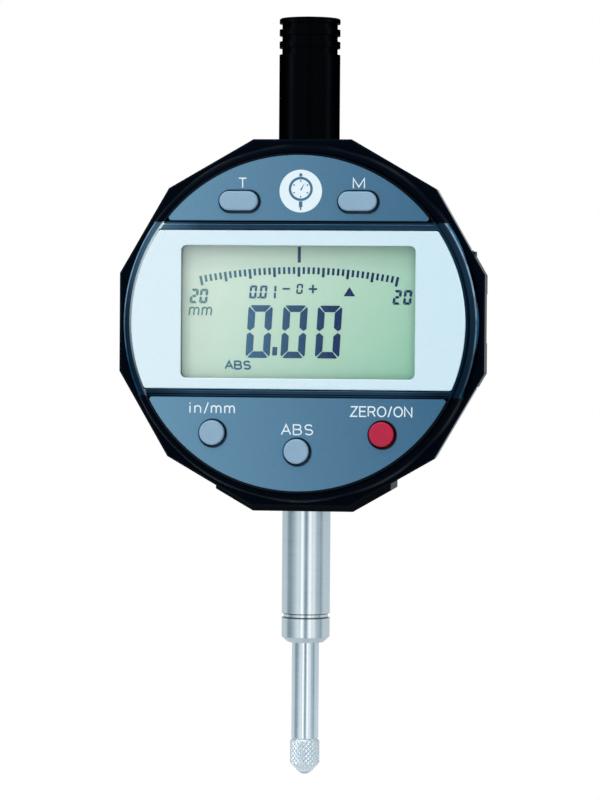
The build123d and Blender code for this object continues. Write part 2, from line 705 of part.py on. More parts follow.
with BuildPart() as coin_cell:
    with BuildSketch(front_plane(TRAY_Y1 - 0.75)):
        with Locations((CELL_X, CELL_Z)):
            Circle(CELL_D / 2)
    extrude(amount=2.4)
    with BuildSketch(front_plane(TRAY_Y1 - 0.75 - 2.4)):
        with Locations((CELL_X, CELL_Z)):
            Circle(CELL_D / 2 - 1.2)
    extrude(amount=CELL_T - 2.4 - 0.05)

with BuildPart() as battery_contacts:
    with BuildSketch(front_plane(-8.28)):
        with Locations((17.7, 6.0), (17.7, -4.0)):
            RectangleRounded(9.0, 2.6, 0.6)
    extrude(amount=0.3)

# ================================================================ data port
with BuildPart() as data_socket:
    with BuildSketch(front_plane(0.3)):
        with Locations((-23.4, 0)):
            Rectangle(4.6, 9.6)
    extrude(amount=0.3 + 8.58)
    with BuildSketch(side_plane(-25.8)):
        with Locations((-1.5, 0)):
            Rectangle(1.4, 7.6)
    extrude(amount=3, mode=Mode.SUBTRACT)
    with BuildSketch(front_plane(-8.0)):
        with Locations((-24.9, 0)):
            Rectangle(1.6, 12)
    extrude(amount=2, mode=Mode.SUBTRACT)

with BuildPart() as data_port_cover:
    with BuildSketch(side_plane(-REAR_A - 0.02)):
        with Locations((-1.5, 0)):
            RectangleRounded(5.0, 11.8, 1.0)
    extrude(amount=-0.9)
    fillet(data_port_cover.faces().sort_by(Axis.X)[0].edges(), 0.3)
    with BuildSketch(side_plane(-REAR_A - 0.02)):
        with Locations((-1.5, 0)):
            RectangleRounded(3.8, 10.2, 0.6)
    extrude(amount=2.2)

# =================================================================== export
PIECES = [
    ("front_shell", front_shell), ("rear_case", rear_case),
    ("back_cover", back_cover), ("upper_label_plate", upper_label_plate),
    ("lower_label_plate", lower_label_plate),
    ("display_plate", display_plate), ("lcd_lens", lcd_lens),
    ("lcd_cell", lcd_cell), ("lcd_holder", lcd_holder),
    ("zebra_strips", zebra_strips), ("circuit_board", circuit_board),
    ("pcb_screws", pcb_screws), ("controller_chip", controller_chip),
    ("key_switches", key_switches), ("shell_screws", shell_screws),
    ("cover_screws", cover_screws), ("stem", stem),
    ("lower_bush", lower_bush), ("upper_bush", upper_bush),
    ("dust_cap", dust_cap), ("spindle", spindle),
    ("contact_point", contact_point), ("contact_ball", contact_ball),
    ("scale_carrier", scale_carrier), ("carrier_screw", carrier_screw),
    ("capacitive_scale", capacitive_scale), ("reader_board", reader_board),
    ("reader_screws", reader_screws), ("board_header", board_header),
    ("guide_rod", guide_rod), ("bump_washer", bump_washer),
    ("return_spring", return_spring), ("battery_tray", battery_tray),
    ("coin_cell", coin_cell), ("battery_contacts", battery_contacts),
    ("data_socket", data_socket), ("data_port_cover", data_port_cover),
] + KEYS

for piece_name, piece in PIECES:
    piece.part.label = piece_name
    export_step(piece.part, "parts/" + piece_name + ".step")
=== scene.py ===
"""Looks of the digital dial indicator: materials, display, prints, knurl, spring,
lights and camera.  Metres; +Z along the spindle, -Y towards the reader."""
import json
import math

import bmesh
import bpy
from mathutils import Matrix, Vector


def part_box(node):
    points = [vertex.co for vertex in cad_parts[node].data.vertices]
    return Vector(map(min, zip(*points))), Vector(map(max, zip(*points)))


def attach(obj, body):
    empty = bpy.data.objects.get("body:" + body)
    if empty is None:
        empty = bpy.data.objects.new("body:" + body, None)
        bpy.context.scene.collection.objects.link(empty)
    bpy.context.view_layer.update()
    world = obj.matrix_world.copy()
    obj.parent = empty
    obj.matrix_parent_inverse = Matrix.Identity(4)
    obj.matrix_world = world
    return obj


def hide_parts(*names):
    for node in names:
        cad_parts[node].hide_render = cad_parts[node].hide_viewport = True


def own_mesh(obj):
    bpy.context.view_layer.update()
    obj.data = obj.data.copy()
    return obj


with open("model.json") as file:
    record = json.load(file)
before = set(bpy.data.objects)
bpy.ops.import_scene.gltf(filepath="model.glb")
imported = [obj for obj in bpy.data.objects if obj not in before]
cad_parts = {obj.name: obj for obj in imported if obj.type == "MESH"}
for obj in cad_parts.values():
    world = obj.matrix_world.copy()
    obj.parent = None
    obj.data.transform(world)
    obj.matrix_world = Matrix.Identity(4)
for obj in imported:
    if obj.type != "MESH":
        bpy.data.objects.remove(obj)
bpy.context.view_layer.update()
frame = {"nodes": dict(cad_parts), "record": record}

MM = 0.001
NODES = frame["nodes"]
scene = bpy.context.scene

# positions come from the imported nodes
face_lo, face_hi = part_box("display_plate")
shell_lo, shell_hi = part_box("front_shell")
rear_lo, rear_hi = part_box("rear_case")
stem_lo, stem_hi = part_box("stem")
lens_lo, lens_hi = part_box("lcd_lens")
cell_lo, cell_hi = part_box("lcd_cell")
point_lo, point_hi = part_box("contact_point")
ball_lo, ball_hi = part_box("contact_ball")
spring_lo, spring_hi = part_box("return_spring")
Y_FACE = face_lo.y                              # front of the face plates
Y_LCD = cell_lo.y                               # front glass of the display
ZW = (lens_lo.z + lens_hi.z) / 2                # centre of the window
ZC = ZW - 1.8 * MM                              # centre of the round face


# ------------------------------------------------------------------ materials
def new_material(name):
    m = bpy.data.materials.new(name)
    m.use_nodes = True
    nt = m.node_tree
    nt.nodes.clear()
    out = nt.nodes.new("ShaderNodeOutputMaterial")
    bsdf = nt.nodes.new("ShaderNodeBsdfPrincipled")
    nt.links.new(bsdf.outputs["BSDF"], out.inputs["Surface"])
    return m, nt, bsdf


def coords(nt, scale=(1, 1, 1)):
    tc = nt.nodes.new("ShaderNodeTexCoord")
    mp = nt.nodes.new("ShaderNodeMapping")
    mp.inputs["Scale"].default_value = scale
    nt.links.new(tc.outputs["Object"], mp.inputs["Vector"])
    return mp.outputs["Vector"]


def noise(nt, vec, scale, detail=3.0, rough=0.55):
    n = nt.nodes.new("ShaderNodeTexNoise")
    n.inputs["Scale"].default_value = scale
    n.inputs["Detail"].default_value = detail
    n.inputs["Roughness"].default_value = rough
    nt.links.new(vec, n.inputs["Vector"])
    return n.outputs["Fac"]


def ramp_range(nt, fac, lo, hi, frm=(0.0, 1.0)):
    r = nt.nodes.new("ShaderNodeMapRange")
    r.inputs["From Min"].default_value = frm[0]
    r.inputs["From Max"].default_value = frm[1]
    r.inputs["To Min"].default_value = lo
    r.inputs["To Max"].default_value = hi
    nt.links.new(fac, r.inputs["Value"])
    return r.outputs["Result"]


def mix_color(nt, fac, a, b):
    m = nt.nodes.new("ShaderNodeMix")
    m.data_type = "RGBA"
    for socket, value in ((m.inputs[6], a), (m.inputs[7], b)):
        if isinstance(value, (tuple, list)):
            socket.default_value = (*value[:3], 1)
        else:
            nt.links.new(value, socket)
    nt.links.new(fac, m.inputs[0])
    return m.outputs[2]


def math_node(nt, op, a, b=None, clamp=False):
    m = nt.nodes.new("ShaderNodeMath")
    m.operation = op
    m.use_clamp = clamp
    for socket, value in ((m.inputs[0], a), (m.inputs[1], b)):
        if value is None:
            continue
        if isinstance(value, (int, float)):
            socket.default_value = value
        else:
            nt.links.new(value, socket)
    return m.outputs[0]


def bump(nt, bsdf, height, strength, distance):
    b = nt.nodes.new("ShaderNodeBump")
    b.inputs["Strength"].default_value = strength
    b.inputs["Distance"].default_value = distance
    nt.links.new(height, b.inputs["Height"])
    nt.links.new(b.outputs["Normal"], bsdf.inputs["Normal"])


def surface(name, color, color2=None, metallic=0.0, rough=(0.35, 0.45),
            grain=4000.0, stretch=(1, 1, 1), bump_strength=0.15,
            bump_distance=0.00002, patch=120.0, specular=0.5, coat=0.0,
            coat_rough=0.1, aniso=0.0, ior=1.5):
    """A base colour with slow and fine variation, roughness that follows the
    same grain, and a bump at the grain's scale."""
    m, nt, bsdf = new_material(name)
    vec = coords(nt, stretch)
    fine = noise(nt, vec, grain, 3.0)
    slow = noise(nt, coords(nt), patch, 2.0)
    both = math_node(nt, "ADD", math_node(nt, "MULTIPLY", fine, 0.6),
                     math_node(nt, "MULTIPLY", slow, 0.4))
    c2 = color2 or tuple(c * 0.82 for c in color)
    fac = ramp_range(nt, both, 0.0, 1.0, (0.3, 0.7))
    nt.links.new(mix_color(nt, fac, c2, color), bsdf.inputs["Base Color"])
    nt.links.new(ramp_range(nt, both, rough[0], rough[1], (0.3, 0.7)),
                 bsdf.inputs["Roughness"])
    bsdf.inputs["Metallic"].default_value = metallic
    bsdf.inputs["Specular IOR Level"].default_value = specular
    bsdf.inputs["IOR"].default_value = ior
    bsdf.inputs["Coat Weight"].default_value = coat
    bsdf.inputs["Coat Roughness"].default_value = coat_rough
    bsdf.inputs["Anisotropic"].default_value = aniso
    bump(nt, bsdf, fine, bump_strength, bump_distance)
    return m


def lin(r, g, b):
    def f(c):
        c /= 255.0
        return c / 12.92 if c <= 0.04045 else ((c + 0.055) / 1.055) ** 2.4
    return f(r), f(g), f(b)


def shell_material():
    """Black moulding: mirror-finished between the two ribs and on the side
    walls, satin elsewhere. Its colour carries painted highlights on the ring
    and the island's rim, painted sheen at the upper left and on the side walls,
    and painted shade low on both sides."""
    m, nt, bsdf = new_material("shell_black")
    tc = nt.nodes.new("ShaderNodeTexCoord")
    sep = nt.nodes.new("ShaderNodeSeparateXYZ")
    nt.links.new(tc.outputs["Object"], sep.inputs[0])
    z = sep.outputs["Z"]
    edge = 0.12 * MM
    low = ramp_range(nt, z, 0, 1, (ZC - 11.9 * MM - edge, ZC - 11.9 * MM + edge))
    high = ramp_range(nt, z, 1, 0, (ZC + 16.3 * MM - edge, ZC + 16.3 * MM + edge))
    band = math_node(nt, "MULTIPLY", low, high, clamp=True)
    front = ramp_range(nt, sep.outputs["Y"], 1, 0, (-10.45 * MM, -10.35 * MM))
    band = math_node(nt, "MULTIPLY", band, front, clamp=True)
    wall = ramp_range(nt, sep.outputs["Y"], 0, 1, (-9.98 * MM, -9.92 * MM))
    polished = math_node(nt, "MAXIMUM", band, wall, clamp=True)
    fine = noise(nt, coords(nt), 5200.0, 3.0)
    slow = noise(nt, coords(nt), 150.0, 3.0)
    matte = ramp_range(nt, fine, 0.30, 0.44, (0.3, 0.7))
    gloss = ramp_range(nt, slow, 0.09, 0.15, (0.3, 0.7))
    mixed = nt.nodes.new("ShaderNodeMix")
    nt.links.new(polished, mixed.inputs[0])
    nt.links.new(matte, mixed.inputs[2])
    nt.links.new(gloss, mixed.inputs[3])
    nt.links.new(mixed.outputs[0], bsdf.inputs["Roughness"])
    col = mix_color(nt, slow, (0.0004, 0.0012, 0.0034), (0.0008, 0.0024, 0.0062))
    lit = mix_color(nt, slow, (0.014, 0.040, 0.075), (0.022, 0.056, 0.095))
    # painted highlights: brighter base colour laid on the ring's outer rounding and on the
    # island's rim, not on the groove
    x = sep.outputs["X"]
    zr = math_node(nt, "SUBTRACT", z, ZC)
    rad = math_node(nt, "SQRT", math_node(nt, "ADD",
                                          math_node(nt, "MULTIPLY", x, x),
                                          math_node(nt, "MULTIPLY", zr, zr)))

    def between(r0, r1, soft=0.05):
        up = ramp_range(nt, rad, 0, 1, ((r0 - soft) * MM, (r0 + soft) * MM))
        dn = ramp_range(nt, rad, 1, 0, ((r1 - soft) * MM, (r1 + soft) * MM))
        return math_node(nt, "MULTIPLY", up, dn, clamp=True)

    # painted highlight on the ring's outer rounding: a pale blue streak, fading downwards
    # and broken up by noise
    ring_highlight_fade = ramp_range(nt, zr, 0.10, 1, (-7 * MM, 5 * MM))
    ring_highlight_breakup = ramp_range(nt, noise(nt, coords(nt), 420.0, 2.0), 0.45, 1.0, (0.35, 0.6))
    ring = math_node(nt, "MULTIPLY", between(28.66, 29.02),
                     math_node(nt, "MULTIPLY", ring_highlight_fade, ring_highlight_breakup), clamp=True)
    left = ramp_range(nt, x, 1, 0, (-24 * MM, -16 * MM))
    sides = ramp_range(nt, math_node(nt, "ABSOLUTE", x), 0, 1, (17 * MM, 23 * MM))
    # painted shade: the band's colour darkened low on both sides
    lower_side_shade = math_node(nt, "MULTIPLY", sides,
                     ramp_range(nt, zr, 1, 0, (-9 * MM, 12 * MM)))
    lit = mix_color(nt, lower_side_shade, lit, (0.006, 0.018, 0.036))
    # painted sheen: a paler blue laid over the band at the upper left
    upper_left_sheen = math_node(nt, "MULTIPLY", left, ramp_range(nt, zr, 0, 0.7, (3 * MM, 15 * MM)))
    lit = mix_color(nt, upper_left_sheen, lit, (0.11, 0.21, 0.31))
    lit = mix_color(nt, math_node(nt, "MULTIPLY", ring, 0.8), lit, (0.55, 0.78, 1.0))
    # painted highlight: a near-white crescent along the island's rim on the left, fading
    # downwards
    rim_highlight_fade = ramp_range(nt, zr, 0.12, 1, (-9 * MM, 13 * MM))
    bevel = ramp_range(nt, sep.outputs["Y"], 1, 0, (-15.06 * MM, -15.0 * MM))
    rim_highlight_fade = math_node(nt, "MULTIPLY", rim_highlight_fade, bevel)
    rim_highlight = math_node(nt, "MULTIPLY", between(27.12, 27.66),
                    math_node(nt, "MULTIPLY", left, rim_highlight_fade), clamp=True)
    lit = mix_color(nt, rim_highlight, lit, (0.95, 1.0, 1.0))
    # painted sheen: the side walls get a paler blue base colour than the front
    col = mix_color(nt, math_node(nt, "MULTIPLY", wall, 0.8), col,
                    (0.008, 0.021, 0.036))
    nt.links.new(mix_color(nt, band, col, lit), bsdf.inputs["Base Color"])
    nt.links.new(band, bsdf.inputs["Metallic"])
    bsdf.inputs["Specular IOR Level"].default_value = 0.03
    bsdf.inputs["Specular Tint"].default_value = (0.30, 0.65, 1.0, 1)
    strength = math_node(nt, "SUBTRACT", 1.0, polished)
    height = math_node(nt, "MULTIPLY", fine, strength)
    bump(nt, bsdf, height, 0.22, 0.00003)
    return m


def plate_material(name, left, right, rough, metallic, grain_amount=0.08):
    """Finely grained anodised sheet; its colour runs from the left colour to the right
    one, painted light that leaves the left side lighter.
    """
    m, nt, bsdf = new_material(name)
    tc = nt.nodes.new("ShaderNodeTexCoord")
    sep = nt.nodes.new("ShaderNodeSeparateXYZ")
    nt.links.new(tc.outputs["Object"], sep.inputs[0])
    # painted light: the colour goes from the paler left colour to the darker right colour
    across = ramp_range(nt, sep.outputs["X"], 0, 1, (-22 * MM, 24 * MM))
    base = mix_color(nt, across, left, right)
    fine = noise(nt, coords(nt, (0.3, 1, 1)), 16000.0, 3.0, 0.6)
    spark = noise(nt, coords(nt), 3400.0, 3.0, 0.6)
    both = math_node(nt, "ADD", math_node(nt, "MULTIPLY", fine, 0.55),
                     math_node(nt, "MULTIPLY", spark, 0.45))
    level = ramp_range(nt, both, 1 - grain_amount, 1 + grain_amount, (0.3, 0.7))
    hsv = nt.nodes.new("ShaderNodeHueSaturation")
    nt.links.new(base, hsv.inputs["Color"])
    nt.links.new(level, hsv.inputs["Value"])
    nt.links.new(hsv.outputs["Color"], bsdf.inputs["Base Color"])
    nt.links.new(ramp_range(nt, both, rough[0], rough[1], (0.3, 0.7)),
                 bsdf.inputs["Roughness"])
    bsdf.inputs["Metallic"].default_value = metallic
    bump(nt, bsdf, both, 0.05, 0.000005)
    return m


def lcd_material():
    """Display glass: pale green with faint streaks; painted light makes it paler at the
    upper left.
    """
    m, nt, bsdf = new_material("lcd")
    tc = nt.nodes.new("ShaderNodeTexCoord")
    sep = nt.nodes.new("ShaderNodeSeparateXYZ")
    nt.links.new(tc.outputs["Object"], sep.inputs[0])
    across = ramp_range(nt, sep.outputs["X"], 0, 1, (-19 * MM, 19 * MM))
    down = ramp_range(nt, sep.outputs["Z"], 1, 0, (ZW - 10.5 * MM, ZW + 10.5 * MM))
    fac = math_node(nt, "ADD", math_node(nt, "MULTIPLY", across, 0.70),
                    math_node(nt, "MULTIPLY", down, 0.26))
    # painted light: pale colour at the upper left, greener towards the lower right
    base = mix_color(nt, fac, lin(243, 255, 240), lin(157, 217, 184))
    streak = noise(nt, coords(nt, (1, 1, 0.06)), 5000.0, 2.0)
    level = ramp_range(nt, streak, 0.975, 1.025, (0.3, 0.7))
    hsv = nt.nodes.new("ShaderNodeHueSaturation")
    nt.links.new(base, hsv.inputs["Color"])
    nt.links.new(level, hsv.inputs["Value"])
    nt.links.new(hsv.outputs["Color"], bsdf.inputs["Base Color"])
    nt.links.new(ramp_range(nt, streak, 0.42, 0.5, (0.3, 0.7)),
                 bsdf.inputs["Roughness"])
    bsdf.inputs["Specular IOR Level"].default_value = 0.3
    return m


def segment_material():
    """Liquid crystal segments; a painted sheen makes them paler towards the left, where
    they are seen askew.
    """
    m, nt, bsdf = new_material("lcd_segment")
    tc = nt.nodes.new("ShaderNodeTexCoord")
    sep = nt.nodes.new("ShaderNodeSeparateXYZ")
    nt.links.new(tc.outputs["Object"], sep.inputs[0])
    x = sep.outputs["X"]
    # painted sheen: paler teal at the left, deepest blue at the right
    near = mix_color(nt, ramp_range(nt, x, 0, 1, (-9 * MM, 6 * MM)),
                     lin(74, 118, 150), lin(8, 46, 98))
    base = mix_color(nt, ramp_range(nt, x, 0, 1, (-18.5 * MM, -8.5 * MM)),
                     lin(124, 166, 158), near)
    fine = noise(nt, coords(nt), 6000.0, 2.0)
    level = ramp_range(nt, fine, 0.93, 1.05, (0.3, 0.7))
    hsv = nt.nodes.new("ShaderNodeHueSaturation")
    nt.links.new(base, hsv.inputs["Color"])
    nt.links.new(level, hsv.inputs["Value"])
    nt.links.new(hsv.outputs["Color"], bsdf.inputs["Base Color"])
    nt.links.new(ramp_range(nt, fine, 0.5, 0.6, (0.3, 0.7)),
                 bsdf.inputs["Roughness"])
    bsdf.inputs["Specular IOR Level"].default_value = 0.1
    return m


def lens_material():
    m, nt, bsdf = new_material("lens_clear")
    slow = noise(nt, coords(nt), 260.0, 2.0)
    nt.links.new(mix_color(nt, slow, (0.10, 0.13, 0.13), (0.14, 0.17, 0.17)),
                 bsdf.inputs["Base Color"])
    nt.links.new(ramp_range(nt, slow, 0.05, 0.09, (0.3, 0.7)),
                 bsdf.inputs["Roughness"])
    bsdf.inputs["Alpha"].default_value = 0.07
    bsdf.inputs["Specular IOR Level"].default_value = 0.5
    return m


def turned(name, color, rough, aniso=0.0, pitch=9000.0, dark=0.85, edge=None,
           darker_bands=()):
    """Ground or turned bar: fine rings round the axis, slightly uneven.
    Last argument: (z0, z1, keep) bands whose colour is painted darker, scaled by keep."""
    m, nt, bsdf = new_material(name)
    rings = noise(nt, coords(nt, (0.02, 0.02, 1)), pitch, 3.0, 0.7)
    slow = noise(nt, coords(nt), 180.0, 3.0)
    both = math_node(nt, "ADD", math_node(nt, "MULTIPLY", rings, 0.6),
                     math_node(nt, "MULTIPLY", slow, 0.4))
    c2 = tuple(c * dark for c in color)
    col = mix_color(nt, ramp_range(nt, both, 0, 1, (0.3, 0.7)), c2, color)
    if darker_bands:
        tc = nt.nodes.new("ShaderNodeTexCoord")
        sep = nt.nodes.new("ShaderNodeSeparateXYZ")
        nt.links.new(tc.outputs["Object"], sep.inputs[0])
    for z0, z1, keep in darker_bands:
        z = sep.outputs["Z"]
        lo = ramp_range(nt, z, 0, 1, ((z0 - 0.04) * MM, (z0 + 0.04) * MM))
        hi = ramp_range(nt, z, 1, 0, ((z1 - 0.04) * MM, (z1 + 0.04) * MM))
        fac = math_node(nt, "MULTIPLY", lo, hi, clamp=True)
        col = mix_color(nt, fac, col, tuple(c * keep for c in color))
    nt.links.new(col, bsdf.inputs["Base Color"])
    nt.links.new(ramp_range(nt, both, rough[0], rough[1], (0.3, 0.7)),
                 bsdf.inputs["Roughness"])
    bsdf.inputs["Metallic"].default_value = 1.0
    bsdf.inputs["Anisotropic"].default_value = aniso
    if edge:
        bsdf.inputs["Specular Tint"].default_value = (*edge, 1)
    bump(nt, bsdf, rings, 0.05, 0.000006)
    return m


def board_material():
    """Solder-masked board: green with paler tracks under the mask."""
    m, nt, bsdf = new_material("board_green")
    br = nt.nodes.new("ShaderNodeTexBrick")
    br.inputs["Scale"].default_value = 520.0
    br.inputs["Mortar Size"].default_value = 0.035
    br.inputs["Color1"].default_value = (0.012, 0.085, 0.035, 1)
    br.inputs["Color2"].default_value = (0.010, 0.070, 0.030, 1)
    br.inputs["Mortar"].default_value = (0.035, 0.17, 0.075, 1)
    mp = coords(nt, (1, 1, 1))
    # tracks lie in the board's own plane
    sep = nt.nodes.new("ShaderNodeSeparateXYZ")
    comb = nt.nodes.new("ShaderNodeCombineXYZ")
    nt.links.new(mp, sep.inputs[0])
    nt.links.new(sep.outputs["X"], comb.inputs["X"])
    nt.links.new(sep.outputs["Z"], comb.inputs["Y"])
    nt.links.new(comb.outputs[0], br.inputs["Vector"])
    nt.links.new(br.outputs["Color"], bsdf.inputs["Base Color"])
    fine = noise(nt, coords(nt), 6000.0)
    nt.links.new(ramp_range(nt, fine, 0.28, 0.38, (0.3, 0.7)),
                 bsdf.inputs["Roughness"])
    bump(nt, bsdf, br.outputs["Fac"], 0.2, 0.00002)
    return m


def scale_material():
    """Gold-plated capacitive bars on dark glass-fibre board."""
    m, nt, bsdf = new_material("scale")
    w = nt.nodes.new("ShaderNodeTexWave")
    w.wave_type = "BANDS"
    w.bands_direction = "Z"
    w.inputs["Scale"].default_value = 400.0
    nt.links.new(coords(nt), w.inputs["Vector"])
    fac = ramp_range(nt, w.outputs["Fac"], 0, 1, (0.45, 0.55))
    nt.links.new(mix_color(nt, fac, (0.02, 0.09, 0.04), (0.83, 0.62, 0.25)),
                 bsdf.inputs["Base Color"])
    nt.links.new(fac, bsdf.inputs["Metallic"])
    nt.links.new(ramp_range(nt, fac, 0.45, 0.25), bsdf.inputs["Roughness"])
    return m


STEEL = (0.87, 0.95, 1.0)
MATS = {
    "shell_black": shell_material(),
    "case_black": surface("case_black", (0.0022, 0.0034, 0.0062), (0.0012, 0.0020, 0.0040),
                          rough=(0.34, 0.46), grain=3800.0, bump_strength=0.3,
                          bump_distance=0.00003, specular=0.06),
    "cover_black": surface("cover_black", (0.0095, 0.011, 0.015), (0.006, 0.007, 0.010),
                           rough=(0.4, 0.55), grain=3200.0, bump_strength=0.5,
                           bump_distance=0.00004),
    # painted light: each plate's left colour is paler than its right
    "plate_grey": plate_material("plate_grey", lin(107, 150, 178), lin(66, 113, 145),
                                 (0.26, 0.36), 0.7),
    "plate_silver": plate_material("plate_silver", lin(230, 245, 252),
                                   lin(220, 243, 252), (0.36, 0.46), 0.55, 0.04),
    "lens_clear": lens_material(),
    "lcd": lcd_material(),
    "holder_white": surface("holder_white", (0.72, 0.73, 0.70), grain=2500.0,
                            rough=(0.45, 0.6)),
    "elastomer": surface("elastomer", (0.09, 0.10, 0.11), (0.02, 0.02, 0.022),
                         rough=(0.6, 0.75), grain=2600.0, stretch=(4, 1, 0.05)),
    "board_green": board_material(),
    "chip_black": surface("chip_black", (0.018, 0.018, 0.020), rough=(0.5, 0.65),
                          grain=5200.0, bump_strength=0.3),
    "screw_steel": surface("screw_steel", (0.62, 0.65, 0.70), metallic=1.0,
                           rough=(0.22, 0.36), grain=2600.0),
    "switch_black": surface("switch_black", (0.03, 0.03, 0.033), rough=(0.4, 0.5)),
    "key_grey": surface("key_grey", lin(143, 172, 194), lin(134, 163, 185),
                        rough=(0.42, 0.55), grain=4600.0, bump_strength=0.2,
                        patch=500.0, specular=0.4),
    "key_red": surface("key_red", lin(186, 8, 60), lin(172, 4, 50),
                       rough=(0.42, 0.55), grain=4600.0, bump_strength=0.2,
                       patch=500.0, specular=0.4),
    # painted shade: the first two bands darken the groove's edges where the groove is in
    # shadow; the third band, lower down, is only darker
    "stem_steel": turned("stem_steel", STEEL, (0.13, 0.22), dark=0.92,
                         darker_bands=((-8.74, -8.56, 0.10), (-9.39, -9.16, 0.16),
                                  (-13.5, -12.48, 0.62))),
    "spindle_steel": turned("spindle_steel", STEEL, (0.11, 0.20), dark=0.94),
    "point_steel": surface("point_steel", (0.80, 0.86, 0.90), (0.60, 0.67, 0.72),
                           metallic=1.0, rough=(0.36, 0.5), grain=3000.0),
    "ball": surface("ball", (0.50, 0.52, 0.56), metallic=1.0, rough=(0.05, 0.10),
                    bump_strength=0.02),
    "bush_bronze": turned("bush_bronze", (0.64, 0.46, 0.26), (0.25, 0.38)),
    "cap_black": turned("cap_black", (0.0022, 0.0026, 0.0036), (0.26, 0.38), 0.3,
                        pitch=7000.0, edge=(0.10, 0.14, 0.20)),
    "carrier_alu": surface("carrier_alu", (0.72, 0.73, 0.75), metallic=1.0,
                           rough=(0.3, 0.42), grain=5200.0, stretch=(1, 1, 0.1)),
    "scale": scale_material(),
    "rod_steel": turned("rod_steel", (0.70, 0.72, 0.76), (0.12, 0.2)),
    "washer_rubber": surface("washer_rubber", (0.022, 0.022, 0.024),
                             rough=(0.6, 0.78), grain=3000.0, bump_strength=0.4),
    "spring_steel": surface("spring_steel", (0.60, 0.62, 0.66), metallic=1.0,
                            rough=(0.2, 0.3), grain=5000.0),
    "tray_black": surface("tray_black", (0.0085, 0.010, 0.014),
                          (0.0055, 0.0065, 0.010), rough=(0.40, 0.54),
                          grain=3800.0, bump_strength=0.4, bump_distance=0.00004),
    "cell_steel": surface("cell_steel", (0.80, 0.80, 0.78), metallic=1.0,
                          rough=(0.2, 0.32), grain=4200.0, stretch=(0.2, 1, 1)),
    "contact_brass": surface("contact_brass", (0.85, 0.62, 0.26), metallic=1.0,
                             rough=(0.25, 0.36), grain=4200.0),
    "socket_black": surface("socket_black", (0.02, 0.02, 0.022), rough=(0.4, 0.5)),
    "plug_rubber": surface("plug_rubber", (0.016, 0.017, 0.019),
                           rough=(0.58, 0.72), grain=3600.0, bump_strength=0.35),
}
SEGMENT = segment_material()
PRINT_WHITE = surface("print_white", (0.78, 0.86, 0.91), (0.73, 0.82, 0.87),
                      rough=(0.4, 0.5), grain=6000.0, bump_strength=0.05)
PRINT_DARK = surface("print_dark", lin(60, 108, 140), lin(52, 98, 130),
                     rough=(0.35, 0.45), grain=6000.0, bump_strength=0.05)

slot_names = {m["slot"] for m in frame["record"].get("materials", [])}
for name, obj in NODES.items():
    for s in obj.material_slots:
        key = s.material.name.split(".")[0] if s.material else ""
        if key in MATS:
            s.material = MATS[key]


# -------------------------------------------------------------- mesh helpers
def mesh_object(name, verts, faces, material, smooth=False):
    me = bpy.data.meshes.new(name)
    me.from_pydata([tuple(v) for v in verts], [], faces)
    me.update()
    ob = bpy.data.objects.new(name, me)
    scene.collection.objects.link(ob)
    me.materials.append(material)
    bm = bmesh.new()
    bm.from_mesh(me)
    bmesh.ops.recalc_face_normals(bm, faces=bm.faces)
    bm.to_mesh(me)
    bm.free()
    for p in me.polygons:
        p.use_smooth = smooth
    return ob


class Prism:
    """Flat outlines in the plane of the face, given a small thickness."""

    def __init__(self):
        self.v, self.f = [], []

    def add(self, outline, y_back, y_front):
        n = len(outline)
        k = len(self.v)
        area = sum(outline[i][0] * outline[(i + 1) % n][1]
                   - outline[(i + 1) % n][0] * outline[i][1] for i in range(n))
        if area < 0:
            outline = outline[::-1]
        for y in (y_back, y_front):
            for x, z in outline:
                self.v.append((x, y, z))
        self.f.append([k + n + i for i in range(n)])
        self.f.append([k + n - 1 - i for i in range(n)])
        for i in range(n):
            j = (i + 1) % n
            self.f.append([k + i, k + j, k + n + j, k + n + i])

    def ring(self, cx, cz, r0, r1, y_back, y_front, a0=0.0, a1=360.0, n=72):
        full = abs(a1 - a0 - 360.0) < 1e-6
        steps = n if full else n + 1
        pts = []
        for i in range(steps):
            a = math.radians(a0 + (a1 - a0) * i / n)
            pts.append((math.cos(a), math.sin(a)))
        k = len(self.v)
        for c, s in pts:
            for r, y in ((r0, y_back), (r1, y_back), (r1, y_front), (r0, y_front)):
                self.v.append((cx + r * c, y, cz + r * s))
        count = steps if full else steps - 1
        for i in range(count):
            a = k + 4 * i
            b = k + 4 * ((i + 1) % steps)
            for q in range(4):
                w = (q + 1) % 4
                self.f.append([a + q, b + q, b + w, a + w])
        if not full:
            a = k
            b = k + 4 * (steps - 1)
            self.f.append([a, a + 1, a + 2, a + 3])
            self.f.append([b + 3, b + 2, b + 1, b])

    def build(self, name, material):
        return mesh_object(name, self.v, self.f, material)


# ---------------------------------------------------- the display's segments
LY0 = Y_LCD - 0.002 * MM
LY1 = Y_LCD - 0.035 * MM


